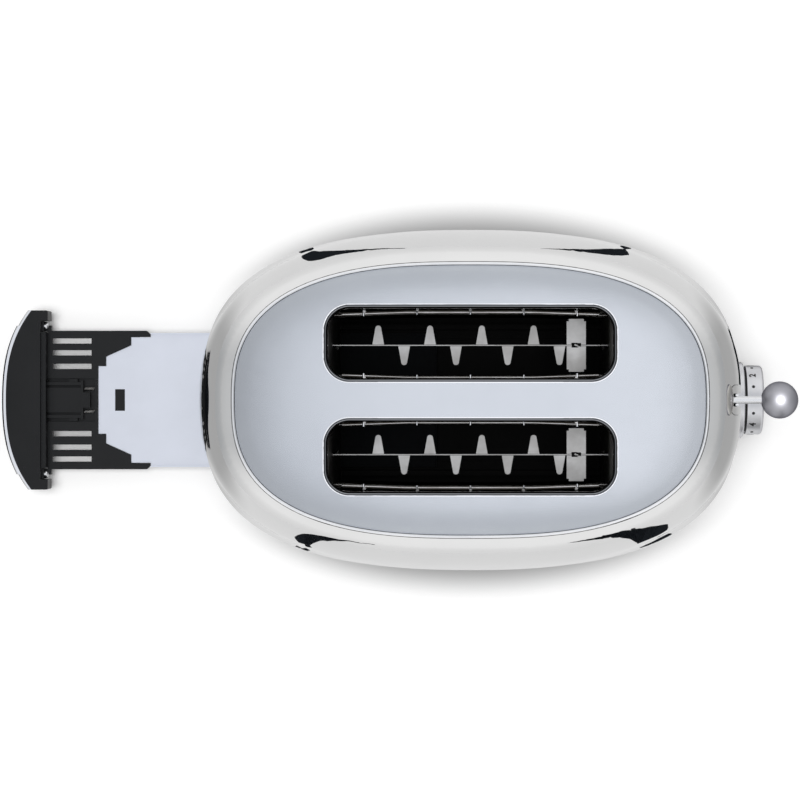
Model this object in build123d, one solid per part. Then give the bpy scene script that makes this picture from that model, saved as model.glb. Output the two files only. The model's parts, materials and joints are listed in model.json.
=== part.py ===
from build123d import *

import os
from math import atan2, copysign, cos, pi, radians, sin, sqrt

# A two-slot oval toaster with its crumb drawer pulled out. Millimetres, +Z up from the surface it
# stands on, the lever and dial at the +X end, the crumb drawer at the -X end, Y across both slots.

# Body shell: an oval of one exponent, leaning in up its sides, with a rounded shoulder
body_length = 310.0
body_width = 195.0
plan_power = 2.5
shell_bottom = 30.0
shell_top = 195.0
shell_wall = 0.9
side_taper_x = 7.6
side_taper_y = 4.7
shoulder_rise = 42.0
shoulder_inset_x = 18.4
shoulder_inset_y = 17.8
shoulder_end_angle = 85.0
mouth_power = 2.67
mouth_band_x = 1.6
mouth_band_y = 1.2
mouth_rise = 0.65

# Rolled rim and top plate
seam_gap = 0.2
rim_width = 1.6
rim_proud = 1.1
rim_depth = 6.0
plate_wall = 1.0
plate_drop = 1.3
plate_crown = 3.0
plate_roundness = 5
plate_skirt = 4.0

# Bread slots
slot_length = 152.1
slot_width = 37.1
slot_spacing = 60.4
slot_corner = 11.8
slot_lip_round = 2.2

# Plinth, its feet and the drawer's runners
foot_height = 9.0
foot_radius = 8.5
foot_draft = 1.0
foot_spacing_x = 210.0
foot_spacing_y = 116.0
plinth_inset = 5.6
plinth_wall = 2.4
plinth_floor = 3.0
plinth_lip = 4.0
lip_gap = 0.3
runner_wall = 3.0
runner_gap = 0.4
runner_end_gap = 0.5
ledge_width = 5.5
ledge_setback = 5.0
screw_radius = 1.6
screw_head_radius = 3.2
screw_head_height = 2.0
screw_boss_radius = 4.0
screw_boss_height = 6.0
screw_gap = 0.05

# Toasting chamber
chamber_length = 152.0
sheet = 1.0
chassis_width = 124.0
chassis_drop = 8.0
deck_thickness = 1.2
deck_width = 92.0
deck_length = 57.0
board_thickness = 0.8
board_bottom = 45.0
board_height = 120.0
board_offset = 23.2
reflector_offset = 27.0
reflector_thickness = 0.6
ribbon_count = 8
ribbon_width = 2.0
ribbon_thickness = 0.25
ribbon_length = 140.0

# Wire bread guards
guard_offset = 17.9
guard_bow = 1.2
guard_wire = 0.9
upright_wire = 0.8
guard_drop = 37.0
guard_bottom = 66.0
guard_bars = 5
guard_uprights = 5
upright_pitch = 28.95
guard_flat = 35.0
guard_end = 69.0
guard_bend = 60.0
guard_overhang = 0.6
short_bar_overhang = 1.2
weld_share = 0.7
upright_below = 3.0
upright_above = 2.0

# Bread racks
rack_top = 133.0
rack_height = 12.0
rack_sheet = 0.8
tab_reach = 10.9
tab_base = 6.6
tab_tip = 3.3
tab_pitch = 14.3
tab_first = -50.9
tab_count = 8
cross_tab_x = 58.5
cross_tab_length = 10.6
cross_tab_width = 29.2
cross_tab_bend = 2.4
cross_tab_nick = 1.3
lance_length = 5.4
lance_width = 2.0
lance_offset = 0.4
slit_gap = 0.8
rack_tongue = 0.5
rack_overhang = 1.7

# Lever and its carriage
lever_travel = 60.0
lever_rest_gap = 3.0
lever_rod_radius = 2.05
lever_ball_radius = 10.0
lever_reach = 23.7
bezel_width = 16.0
bezel_border = 4.5
bezel_top_drop = 4.5
bezel_recess = 5.1
bezel_depth = 8.0
bezel_wall = 1.0
slot_play = 1.0
guide_rod_radius = 3.0
guide_rod_x = 88.0
guide_rod_y = 14.0
guide_rod_proud = 2.0
sleeve_radius = 6.0
sleeve_length = 20.0
sleeve_arm_half = 5.0
bracket_sheet = 1.5
bracket_lap = 4.0
running_gap = 0.05
arm_thickness = 6.0
arm_width = 8.0
arm_above = 2.5
rod_in_ball = 4.0
spring_radius = 5.0
spring_bore = 3.6
magnet_height = 25.8
magnet_size = 20.0
magnet_x = 106.0
magnet_y = -8.0
core_radius = 4.0
core_proud = 4.0
armature_size = 16.0
armature_thickness = 2.0
armature_gap = 0.3
armature_arm_half = 3.0
armature_arm_height = 4.0

# Browning dial
knob_z = 56.0
knob_radius = 19.9
knob_length = 9.5
knob_edge = 1.8
collar_radius = 21.75
collar_proud = 3.6
collar_round = 0.8
seal_radius = 18.0
seal_thickness = 1.3
shaft_radius = 3.0
shaft_grip = 5.5
shaft_play = 1.0

# Control board and push buttons
board_setback = 19.0
pcb_thickness = 1.6
pcb_width = 88.0
pcb_height = 72.0
pot_depth = 6.0
pot_size = 16.0
tact_depth = 1.8
tact_size = 6.0
button_y = 37.0
button_z_low = 46.0
button_z_high = 66.0
button_radius = 5.5
button_gap = 0.2
button_proud = 1.2
button_cap = 8.0
stem_radius = 2.5
button_travel = 1.5
button_clearance = 0.3

# Crumb drawer, drawn 120 mm out of the body
drawer_out = 120.0
front_half_width = 52.6
front_bottom = 9.8
front_top = 29.6
front_depth = 22.5
front_gap = 0.5
front_corner = 1.0
ear_depth = 4.5
ear_inner = 46.6
ear_floor_gap = 0.6
ear_side_gap = 1.0
trim_thickness = 2.4
trim_raise_half_width = 43.6
trim_thin = 1.6
trim_margin = 0.6
trim_round = 0.9
back_plate = 2.9
back_plate_half_width = 40.0
back_plate_drop = 3.0
latch_mouth_drop = 6.0
bed_bottom = 13.0
bed_top = 17.6
rail_half_width = 40.9
rail_inner = 37.3
rail_length = 60.5
rail_chamfer = 2.0
bed_length = 29.6
bed_step = 4.6
bed_step_y = 20.0
bed_slope_y = 25.6
bed_slope_end_y = 32.3
bed_slope_length = 14.8
under_layer = 2.6
under_length = 54.0
bed_slot_length = 23.2
bed_slot_width = 3.1
bed_slot_start = 2.6
bed_slot_rows = (34.9, 27.9, 19.9)
tray_sheet = 0.6
tray_half_width = 39.6
tray_length = 229.6
tray_fold = 4.0
tray_gap = 0.2
tray_hole_half_width = 6.4
tray_hole_start = 39.6
tray_hole_length = 5.8
tray_screw_radius = 2.35
tray_screw_dome = 2.4
tray_screw_round = 1.9
tray_screw_shank = 1.2
tray_screw_depth = 7.0
tray_screw_y = 43.8
tray_screw_z = 20.0
tray_flange = 1.4
tray_flange_in = 40.4
tray_flange_out = 46.3
tray_flange_top = 23.4
tray_foot = 5.0
tray_foot_out = 44.0

# Latch on the drawer
latch_channel = 12.8
latch_floor = 14.6
latch_height = 4.6
latch_arm_out = 10.6
latch_arm_in = 8.8
latch_arm_reach = 3.2
latch_bulge = 1.8
latch_bulge_length = 5.0
latch_bulge_setback = 2.0
latch_bulge_drop = 1.0
latch_stop = 1.6
latch_wall_start = 19.7
latch_wall = 1.4
latch_wall_half_width = 11.4
latch_tongue_half_width = 4.5
latch_tongue = 4.0
latch_cover_half_width = 7.3
latch_cover_start = -1.7
latch_cover_height = 3.6
latch_cover_wall = 1.2
latch_spring_y = 6.7
latch_spring_radius = 1.3
latch_gap = 0.2

# Cord inlet
inlet_x = 0.0
inlet_z = 21.0
inlet_bore = 3.2
inlet_radius = 5.0
inlet_flange_radius = 7.0
inlet_flange = 1.6
inlet_length = 9.0
inlet_set_in = 5.0

# Terminal block and mains switch
terminal_length = 20.0
terminal_width = 30.0
terminal_height = 12.0
terminal_ways = 3
terminal_bore = 2.2
terminal_bore_height = 4.8
terminal_setback = 12.0
switch_length = 8.0
switch_width = 10.0
switch_height = 26.0
switch_y = -30.0
switch_setback = 7.0

outline_points = 32
shoulder_levels = 6
overcut = 1.0

# Places worked out from the sizes above
shoulder_start = shell_top - shoulder_rise
shoulder_half_x = body_length / 2 - side_taper_x
shoulder_half_y = body_width / 2 - side_taper_y
hole_half_x = shoulder_half_x - shoulder_inset_x - mouth_band_x
board_x = shoulder_half_x - board_setback
chassis_top = shell_top - chassis_drop
guard_top = chassis_top - guard_drop
hole_half_y = shoulder_half_y - shoulder_inset_y - mouth_band_y
rim_half_x = hole_half_x - seam_gap
rim_half_y = hole_half_y - seam_gap
plate_half_x = rim_half_x - rim_width - seam_gap
plate_half_y = rim_half_y - rim_width - seam_gap
plate_edge = shell_top - plate_drop
plate_bottom = plate_edge - plate_skirt
plinth_floor_top = foot_height + plinth_floor
chamber_end = chamber_length / 2
slot_y = slot_spacing / 2
runner_in = rail_half_width + runner_gap
runner_out = runner_in + runner_wall
runner_top = shell_bottom + deck_thickness
deck_top = runner_top + deck_thickness
bezel_face = shoulder_half_x - bezel_recess
bezel_top = shell_top - bezel_top_drop
lever_z = bezel_top - bezel_border - slot_play - lever_rod_radius - lever_rest_gap
bezel_slot_top = bezel_top - bezel_border
bezel_slot_bottom = lever_z - lever_travel - lever_rod_radius - slot_play
bezel_bottom = bezel_slot_bottom - bezel_border
ball_x = bezel_face + lever_reach
drawer_face = -(body_length / 2) - drawer_out
front_back = drawer_face + front_depth
bed_start = front_back + back_plate
ear_end = front_back + ear_depth
ear_bottom = plinth_floor_top + ear_floor_gap
rack_end = chamber_end + sheet + rack_overhang
rod_end = ball_x - lever_ball_radius + rod_in_ball


def block(x_low, x_high, y_low, y_high, z_low, z_high):
    centre = ((x_low + x_high) / 2, (y_low + y_high) / 2, (z_low + z_high) / 2)
    return Pos(*centre) * Box(x_high - x_low, y_high - y_low, z_high - z_low)


def bar_x(x_low, x_high, y, z, radius):
    return Pos((x_low + x_high) / 2, y, z) * Rot(0, 90, 0) * Cylinder(radius, x_high - x_low)


def bar_y(y_low, y_high, x, z, radius):
    return Pos(x, (y_low + y_high) / 2, z) * Rot(90, 0, 0) * Cylinder(radius, y_high - y_low)


def bar_z(z_low, z_high, x, y, radius):
    return Pos(x, y, (z_low + z_high) / 2) * Cylinder(radius, z_high - z_low)


def outline(half_x, half_y, z, power=plan_power):
    # The oval |x/a|^p + |y/b|^p = 1, with its seam on the plain -Y side
    spots = []
    for step in range(outline_points):
        angle = 2 * pi * step / outline_points - pi / 2
        reach_x = abs(cos(angle)) ** (2 / power)
        reach_y = abs(sin(angle)) ** (2 / power)
        x = half_x * copysign(reach_x, cos(angle))
        spots.append((x, half_y * copysign(reach_y, sin(angle)), z))
    return Wire([Edge.make_spline([Vector(*spot) for spot in spots], periodic=True)])


def oval_prism(half_x, half_y, z_low, z_high, power=plan_power):
    return Solid.extrude(Face(outline(half_x, half_y, z_low, power)), Vector(0, 0, z_high - z_low))


def oval_x(half_x, half_y, y):
    return half_x * (1 - (abs(y) / half_y) ** plan_power) ** (1 / plan_power)


def side_x(z, y=0.0):
    # Where the leaning part of the shell's outside stands at one height
    share = (z - shell_bottom) / (shoulder_start - shell_bottom)
    return oval_x(body_length / 2 - side_taper_x * share, body_width / 2 - side_taper_y * share, y)


def body_solid(offset):
    # The whole body out to the shell's outer face, moved outwards by the offset
    low = outline(body_length / 2 + offset, body_width / 2 + offset, shell_bottom)
    rings = []
    for step in range(shoulder_levels + 1):
        angle = radians(shoulder_end_angle) * step / shoulder_levels
        tilt = atan2(sin(angle) * shoulder_inset_x, cos(angle) * shoulder_rise)
        half_x = shoulder_half_x - shoulder_inset_x * (1 - cos(angle)) + offset * cos(tilt)
        half_y = shoulder_half_y - shoulder_inset_y * (1 - cos(angle)) + offset * cos(tilt)
        z = shoulder_start + shoulder_rise * sin(angle) + offset * sin(tilt)
        rings.append(outline(half_x, half_y, z))
    # A last band runs on just past the mouth's edge, which is boxier than the body
    half_x, half_y = hole_half_x - seam_gap, hole_half_y - seam_gap
    rings.append(outline(half_x, half_y, shell_top + mouth_rise + offset, mouth_power))
    return Solid.make_loft([low, rings[0]]) + Solid.make_loft(rings)


def stadium(x_low, x_high, z_low, z_high, width):
    radius = width / 2
    middle = block(x_low, x_high, -radius, radius, z_low + radius, z_high - radius)
    low_end = bar_x(x_low, x_high, 0, z_low + radius, radius)
    return middle + low_end + bar_x(x_low, x_high, 0, z_high - radius, radius)


def outer_shell(body):
    inside = body_solid(-shell_wall)
    mouth = oval_prism(hole_half_x, hole_half_y, shoulder_start, shell_top + 5, mouth_power)
    low, high = bezel_bottom - seam_gap, bezel_top + seam_gap
    holes = [stadium(guide_rod_x, body_length, low, high, bezel_width + 2 * seam_gap)]
    holes.append(bar_x(board_x, body_length, 0, knob_z, shaft_radius + shaft_play))
    holes += [bar_x(board_x, body_length, y, z, button_radius + button_gap) for y, z in button_places]
    return (body - inside) - [mouth, *holes]


def rim_ring():
    z_low = shell_top - rim_depth
    z_high = shell_top + rim_proud
    ring = oval_prism(rim_half_x, rim_half_y, z_low, z_high, mouth_power)
    inner_x, inner_y = rim_half_x - rim_width, rim_half_y - rim_width
    ring -= oval_prism(inner_x, inner_y, z_low - overcut, z_high + overcut, mouth_power)
    top_edges = [edge for edge in ring.edges() if edge.center().Z > z_high - 0.01]
    return fillet(top_edges, rim_width * 0.4)


def dome(half_x, half_y, z_low, z_edge):
    # A crowned lid: straight at its edge, then a curve that flattens out towards the middle
    shares = (1.0, 0.95, 0.88, 0.78, 0.64, 0.4)
    rings = []
    for share in shares:
        z = z_edge + plate_crown * (1 - share**plate_roundness)
        rings.append(outline(half_x * share, half_y * share, z, mouth_power))
    return oval_prism(half_x, half_y, z_low, z_edge, mouth_power) + Solid.make_loft(rings)


def slot_prism(y, grow, z_low, z_high):
    shape = RectangleRounded(slot_length + 2 * grow, slot_width + 2 * grow, slot_corner + grow)
    return Pos(0, y, z_low) * extrude(shape, z_high - z_low)


def top_plate():
    plate = dome(plate_half_x, plate_half_y, plate_bottom, plate_edge)
    inner_x, inner_y = plate_half_x - plate_wall, plate_half_y - plate_wall
    hollow = dome(inner_x, inner_y, plate_bottom - overcut, plate_edge - plate_wall)
    for y in (-slot_y, slot_y):
        hollow -= slot_prism(y, plate_wall, plate_bottom - 2, shell_top + 5)
    plate -= hollow
    for y in (-slot_y, slot_y):
        plate -= slot_prism(y, 0, plate_bottom - 2, shell_top + 5)
    mouths = []
    for edge in plate.edges():
        spot = edge.center()
        inside = abs(spot.X) < slot_length / 2 + 0.1 and abs(abs(spot.Y) - slot_y) < slot_width / 2 + 0.1
        if inside and edge.bounding_box().min.Z > plate_edge:
            mouths.append(edge)
    return fillet(mouths, slot_lip_round)


def plinth_solid():
    low = outline(body_length / 2 - plinth_inset, body_width / 2 - plinth_inset, foot_height)
    high = outline(body_length / 2 - seam_gap, body_width / 2 - seam_gap, shell_bottom)
    return Solid.make_loft([low, high])


def base_pan():
    lip_inset = shell_wall + lip_gap
    lip_top = shell_bottom + plinth_lip
    lip_x, lip_y = body_length / 2 - lip_inset, body_width / 2 - lip_inset
    pan = plinth_solid() + oval_prism(lip_x, lip_y, shell_bottom, lip_top)
    inner = plinth_inset + plinth_wall
    pan -= oval_prism(body_length / 2 - inner, body_width / 2 - inner, plinth_floor_top, lip_top + overcut)
    bay_end = bed_start + drawer_out
    runner_start = front_back + drawer_out + max(tray_foot, ear_depth) + runner_end_gap
    runner_end = chamber_end + sheet + deck_length
    ledge_start = bay_end + rail_length + ledge_setback
    added = []
    for side in (-1, 1):
        y_low, y_high = sorted((side * runner_in, side * runner_out))
        added.append(block(runner_start, runner_end, y_low, y_high, plinth_floor_top, runner_top))
        y_low, y_high = sorted((side * (runner_in - ledge_width), side * runner_in))
        added.append(block(ledge_start, runner_end, y_low, y_high, plinth_floor_top, tray_under - lip_gap))
    cut_half = front_half_width + front_gap
    cuts = [block(-body_length, bay_end, -cut_half, cut_half, 0, lip_top + overcut)]
    cuts.append(bar_y(0, body_width, inlet_x, inlet_z, inlet_radius + screw_gap))
    # Two pockets let the ears of the shut drawer in
    for side in (-1, 1):
        y_low, y_high = sorted((side * (tray_flange_in - ear_side_gap), side * cut_half))
        pocket_top = lip_top + overcut
        cuts.append(block(bay_end - overcut, runner_start, y_low, y_high, plinth_floor_top, pocket_top))
    boss_top = plinth_floor_top + screw_boss_height
    for x, y in foot_places:
        added.append(bar_z(plinth_floor_top, boss_top, x, y, screw_boss_radius))
        cuts.append(bar_z(0, boss_top + overcut, x, y, screw_radius + screw_gap))
    return (pan + added) - cuts


def rubber_foot(x, y):
    foot = Pos(x, y, foot_height / 2) * Cone(foot_radius - foot_draft, foot_radius, foot_height)
    foot -= bar_z(-overcut, foot_height + overcut, x, y, screw_radius + screw_gap)
    return foot - bar_z(-overcut, foot_height / 2, x, y, screw_head_radius + lip_gap)


def base_screw(x, y):
    head_top = foot_height / 2
    shank_top = plinth_floor_top + screw_boss_height
    head = bar_z(head_top - screw_head_height, head_top, x, y, screw_head_radius)
    return head + bar_z(head_top - 0.5, shank_top, x, y, screw_radius)


def end_plate(side, with_flange):
    x_low, x_high = sorted((side * chamber_end, side * (chamber_end + sheet)))
    plate = block(x_low, x_high, -chassis_width / 2, chassis_width / 2, runner_top, chassis_top)
    x_low, x_high = sorted((side * (chamber_end - overcut), side * (chamber_end + sheet + overcut)))
    slit_low = rack_top - rack_height - lever_travel - slit_gap
    half_slit = rack_sheet / 2 + slit_gap
    for y in (-slot_y, slot_y):
        plate -= block(x_low, x_high, y - half_slit, y + half_slit, slit_low, rack_top + slit_gap)
        for hand in (-1, 1):
            for z in guard_levels[1::2]:
                guard_y = y + hand * (guard_offset - guard_bow)
                plate -= bar_x(x_low, x_high, guard_y, z, guard_wire + running_gap)
    if with_flange:
        flange_end = guide_rod_x + sleeve_radius
        y_low, y_high = guide_rod_y - sleeve_radius, guide_rod_y + sleeve_radius
        plate += block(chamber_end, flange_end, y_low, y_high, chassis_top - deck_thickness, chassis_top)
        hole_low = chassis_top - deck_thickness - overcut
        hole_radius = guide_rod_radius + running_gap
        plate -= bar_z(hole_low, chassis_top + overcut, guide_rod_x, guide_rod_y, hole_radius)
    return plate


def chamber_sheet(y, thickness):
    # A sheet that stands between the two end plates, thickening away from the slot
    y_low, y_high = sorted((y, y + thickness))
    return block(-chamber_end, chamber_end, y_low, y_high, board_bottom, board_bottom + board_height)


def heater_ribbons(slot):
    # Flat heating strips wound over the faces of the two mica boards beside one slot
    strips = []
    for hand in (-1, 1):
        face_y = slot + hand * board_offset
        y_low, y_high = sorted((face_y, face_y - hand * ribbon_thickness))
        for step in range(ribbon_count):
            z = board_bottom + board_height * (step + 0.5) / ribbon_count
            half, end = ribbon_width / 2, ribbon_length / 2
            strips.append(block(-end, end, y_low, y_high, z - half, z + half))
    return Compound(children=strips)


def deck(side):
    x_low, x_high = sorted((side * (chamber_end + sheet), side * (chamber_end + sheet + deck_length)))
    plate = block(x_low, x_high, -deck_width / 2, deck_width / 2, runner_top, deck_top)
    if side > 0:
        plate -= bar_z(0, shell_top, guide_rod_x, guide_rod_y, guide_rod_radius + running_gap)
    return plate


def wire_along(spots, corner_radius, wire_radius):
    path = FilletPolyline(*spots, radius=corner_radius)
    section = Plane(origin=path @ 0, z_dir=path % 0) * Circle(wire_radius)
    return sweep(section, path=path)


def guard_y_at(x, slot, hand):
    share = max(0.0, (abs(x) - guard_flat) / (guard_end - guard_flat))
    return slot + hand * (guard_offset - guard_bow * share)


def bread_guard(slot, hand):
    # Bowed bars with straight uprights welded behind them, every other bar caught in the end plates
    guard = None
    for number, z in enumerate(guard_levels):
        long_bar = number % 2 == 1
        end = chamber_end + sheet + guard_overhang if long_bar else guard_end + short_bar_overhang
        turns = (-end, -guard_end, -guard_flat, guard_flat, guard_end, end)
        spots = [(x, guard_y_at(min(abs(x), guard_end), slot, hand), z) for x in turns]
        bar = wire_along(spots, guard_bend, guard_wire)
        guard = bar if guard is None else guard + bar
    for number in range(guard_uprights):
        x = (number - (guard_uprights - 1) / 2) * upright_pitch
        y = guard_y_at(x, slot, hand) + hand * (guard_wire + upright_wire) * weld_share
        guard += bar_z(guard_bottom - upright_below, guard_top + upright_above, x, y, upright_wire)
    return guard


def bread_rack(slot):
    y_low, y_high = slot - rack_sheet / 2, slot + rack_sheet / 2
    rack = block(-(chamber_end + rack_tongue), rack_end, y_low, y_high, rack_top - rack_height, rack_top)
    for number in range(tab_count):
        hand = 1 if number % 2 == 0 else -1
        x = tab_first + number * tab_pitch
        tip = tab_reach - tab_tip / 2
        corners = [(-tab_base / 2, 0), (tab_base / 2, 0), (tab_tip / 2, tip), (-tab_tip / 2, tip)]
        shape = Polygon(*corners, align=None)
        shape += Pos(0, tip) * Circle(tab_tip / 2)
        tab = extrude(shape, rack_sheet)
        turn = 0 if hand > 0 else 180
        rack += Pos(x, slot, rack_top - rack_sheet) * Rot(0, 0, turn) * tab
    x_low, x_high = cross_tab_x - cross_tab_length / 2, cross_tab_x + cross_tab_length / 2
    half = cross_tab_width / 2
    cross = block(x_low, x_high, slot - half, slot + half, rack_top - cross_tab_bend, rack_top)
    under_half = half - rack_sheet
    y_low, y_high = slot - under_half, slot + under_half
    cross -= block(x_low - overcut, x_high + overcut, y_low, y_high, 0, rack_top - rack_sheet)
    nick = cross_tab_nick
    for x in (x_low, x_high):
        for y in (slot - half, slot + half):
            corner = extrude(Rot(0, 0, 45) * Rectangle(nick * sqrt(2), nick * sqrt(2)), rack_sheet * 4)
            cross -= Pos(x, y, rack_top - rack_sheet * 3.5) * corner
    # A lanced mark: two three-cornered holes with a strip left between them
    for turn in (0, 180):
        reach, side = lance_length / 2, lance_width / 2
        corners = [(-reach, side), (-reach, -side * 0.7), (reach * 0.3, side)]
        hole = extrude(Polygon(*corners, align=None), rack_sheet * 2)
        cross -= Pos(cross_tab_x, slot + lance_offset, rack_top - rack_sheet * 1.5) * Rot(0, 0, turn) * hole
    return rack + cross


def carriage_bracket():
    plate_end = rack_end + bracket_sheet
    rack_low = rack_top - rack_height
    reach_y = slot_y + bracket_lap
    bracket = block(rack_end, plate_end, -reach_y, reach_y, rack_low, rack_top)
    arm_end = plate_end + arm_thickness
    arm_top = lever_z + lever_rod_radius + arm_above
    bracket += block(rack_end, arm_end, -arm_width / 2, arm_width / 2, rack_low, arm_top)
    sleeve_top = rack_low + sleeve_length
    y_low, y_high = guide_rod_y - sleeve_arm_half, guide_rod_y + sleeve_arm_half
    bracket += block(rack_end, guide_rod_x, y_low, y_high, rack_low, sleeve_top)
    bracket += bar_z(rack_low, sleeve_top, guide_rod_x, guide_rod_y, sleeve_radius)
    bracket -= bar_z(0, shell_top, guide_rod_x, guide_rod_y, guide_rod_radius + running_gap)
    arm_low = armature_z + armature_thickness
    y_low, y_high = magnet_y - armature_arm_half, magnet_y + armature_arm_half
    arm_high = arm_low + armature_arm_height
    bracket += block(rack_end, magnet_x + armature_size / 2, y_low, y_high, arm_low, arm_high)
    bracket -= bar_x(rack_end - overcut, arm_end + overcut, 0, lever_z, lever_rod_radius + running_gap)
    return bracket


def lever_rod():
    return bar_x(rack_end, rod_end, 0, lever_z, lever_rod_radius)


def lever_ball():
    ball = Pos(ball_x, 0, lever_z) * Sphere(lever_ball_radius)
    return ball - bar_x(0, rod_end, 0, lever_z, lever_rod_radius)


def lever_bezel(body):
    # A flat frame: proud of the shoulder at its top, sunk into the shell further down
    frame = stadium(bezel_face - bezel_depth, bezel_face, bezel_bottom, bezel_top, bezel_width)
    wall = stadium(bezel_face - 1, body_length, bezel_bottom, bezel_top, bezel_width)
    bezel = frame + (wall & body)
    low, high = bezel_bottom + bezel_wall, bezel_top - bezel_wall
    bezel -= stadium(bezel_face, body_length, low, high, bezel_width - 2 * bezel_wall)
    return bezel - stadium(0, body_length, bezel_slot_bottom, bezel_slot_top, bezel_width - 2 * bezel_border)


def knob_collar(body):
    collar = bar_x(board_x, collar_face, 0, knob_z, collar_radius)
    collar = fillet([edge for edge in collar.edges() if edge.center().X > collar_face - 0.01], collar_round)
    return (collar - body) - bar_x(board_x, collar_face + overcut, 0, knob_z, shaft_radius + running_gap)


def control_knob():
    knob_end = knob_back + knob_length
    knob = bar_x(knob_back, knob_end, 0, knob_z, knob_radius)
    knob = fillet([edge for edge in knob.edges() if edge.center().X > knob_end - 0.01], knob_edge)
    return knob - bar_x(knob_back - overcut, knob_back + shaft_grip, 0, knob_z, shaft_radius)


def push_button(y, z, skin):
    cap_start = side_x(z, y) - button_cap
    cap = bar_x(cap_start, body_length, y, z, button_radius) & skin
    stem_end = board_face + tact_depth + button_travel + button_clearance
    return cap + bar_x(stem_end, cap_start + overcut, y, z, stem_radius)


def tact_switches():
    half = tact_size / 2
    switches = []
    for y, z in button_places:
        switches.append(block(board_face, board_face + tact_depth, y - half, y + half, z - half, z + half))
    return Compound(children=switches)


def tray_front():
    # The drawer's end carries on the plinth's oval when it is shut
    half_x, half_y = body_length / 2 - trim_thickness, body_width / 2 - trim_thickness
    front = Pos(-drawer_out, 0, 0) * oval_prism(half_x, half_y, front_bottom, front_top)
    half = front_half_width
    front &= block(drawer_face - overcut, front_back, -half, half, front_bottom, front_top)
    plate_half = back_plate_half_width
    plate_top = front_top - back_plate_drop
    front += block(front_back - overcut, bed_start, -plate_half, plate_half, bed_bottom, plate_top)
    for side in (-1, 1):
        y_low, y_high = sorted((side * ear_inner, side * half))
        ear = block(front_back - overcut, ear_end, y_low, y_high, ear_bottom, front_top)
        corners = []
        for edge in ear.edges().filter_by(Axis.Z):
            if edge.center().X > front_back and abs(edge.center().Y) > half - 0.01:
                corners.append(edge)
        front += fillet(corners, front_corner)
        screw_y = side * tray_screw_y
        front -= bar_x(front_back - tray_screw_depth, ear_end, screw_y, tray_screw_z, tray_screw_shank)
    mouth_start, mouth_top = front_back - latch_arm_reach, front_top - latch_mouth_drop
    half = latch_wall_half_width
    return front - block(mouth_start, bed_start + overcut, -half, half, latch_floor, mouth_top)


def rounded_oval(half_x, half_y, z_low, z_high, radius):
    prism = oval_prism(half_x, half_y, z_low, z_high)
    return fillet([edge for edge in prism.edges() if edge.center().Z > z_high - 0.01], radius)


def tray_front_trim():
    trim_low, trim_high = front_bottom + trim_margin, front_top - trim_margin
    inner_x, inner_y = body_length / 2 - trim_thickness, body_width / 2 - trim_thickness
    strip = rounded_oval(inner_x + trim_thin, inner_y + trim_thin, trim_low, trim_high, trim_round)
    raised = rounded_oval(inner_x + trim_thickness, inner_y + trim_thickness, trim_low, trim_high, trim_round)
    half = trim_raise_half_width
    strip += raised & block(-body_length, 0, -half, half, trim_low, trim_high)
    strip -= oval_prism(inner_x, inner_y, trim_low - overcut, trim_high + overcut)
    half = front_half_width
    ends = block(drawer_face - overcut, front_back, -half, half, trim_low, trim_high)
    return (Pos(-drawer_out, 0, 0) * strip) & ends


def bed_edge(gap):
    # Half of the stepped edge where the black bed ends and the metal tray starts
    step_x = bed_start + bed_length
    slope_x = step_x + bed_step
    return [
        (step_x + gap, 0),
        (step_x + gap, bed_step_y),
        (slope_x + gap, bed_step_y),
        (slope_x + gap, bed_slope_y),
        (slope_x + bed_slope_length + gap, bed_slope_end_y),
    ]


def mirrored(points):
    return points + [(x, -y) for x, y in reversed(points)]


def tray_carrier():
    rail_end = bed_start + rail_length
    half = bed_edge(0) + [
        (bed_start + bed_length + bed_step + bed_slope_length, rail_inner),
        (rail_end, rail_inner),
        (rail_end, rail_half_width - rail_chamfer),
        (rail_end - rail_chamfer, rail_half_width),
        (bed_start, rail_half_width),
    ]
    outline_face = make_face(Polyline(*mirrored(half), close=True))
    bed = Pos(0, 0, bed_bottom) * extrude(outline_face, bed_top - bed_bottom)
    bed += block(bed_start, bed_start + under_length, -rail_inner, rail_inner, bed_bottom, tray_under)
    for row in bed_slot_rows:
        for y in (-row, row):
            slot_start = bed_start + bed_slot_start
            slot_end = slot_start + bed_slot_length
            y_low, y_high = y - bed_slot_width / 2, y + bed_slot_width / 2
            bed -= block(slot_start, slot_end, y_low, y_high, 0, bed_top + overcut)
    channel_end = bed_start + bed_length - latch_gap
    half = latch_channel
    bed -= block(bed_start - overcut, channel_end, -half, half, latch_floor, bed_top + overcut)
    stop_start, stop_low = channel_end - latch_stop, latch_floor - overcut
    bed += block(stop_start, channel_end + latch_gap, -half, half, stop_low, bed_top)
    flange_end = front_back + tray_flange
    for side in (-1, 1):
        y_low, y_high = sorted((side * tray_flange_in, side * tray_flange_out))
        bed += block(front_back, flange_end, y_low, y_high, bed_bottom, tray_flange_top)
        y_low, y_high = sorted((side * tray_flange_in, side * tray_foot_out))
        bed += block(front_back, front_back + tray_foot, y_low, y_high, bed_bottom, bed_top - screw_gap)
        hole_end, screw_y = flange_end + overcut, side * tray_screw_y
        bed -= bar_x(front_back - overcut, hole_end, screw_y, tray_screw_z, tray_screw_shank)
    return bed


def tray_screw(y):
    # Holds the carrier's flange to the back of the front
    head_start = front_back + tray_flange
    head_end = head_start + tray_screw_dome
    head = bar_x(head_start, head_end, y, tray_screw_z, tray_screw_radius)
    head = fillet([edge for edge in head.edges() if edge.center().X > head_end - 0.01], tray_screw_round)
    shank_start, shank_end = front_back - tray_screw_depth, head_start + tray_screw_dome / 2
    return head + bar_x(shank_start, shank_end, y, tray_screw_z, tray_screw_shank)


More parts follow.
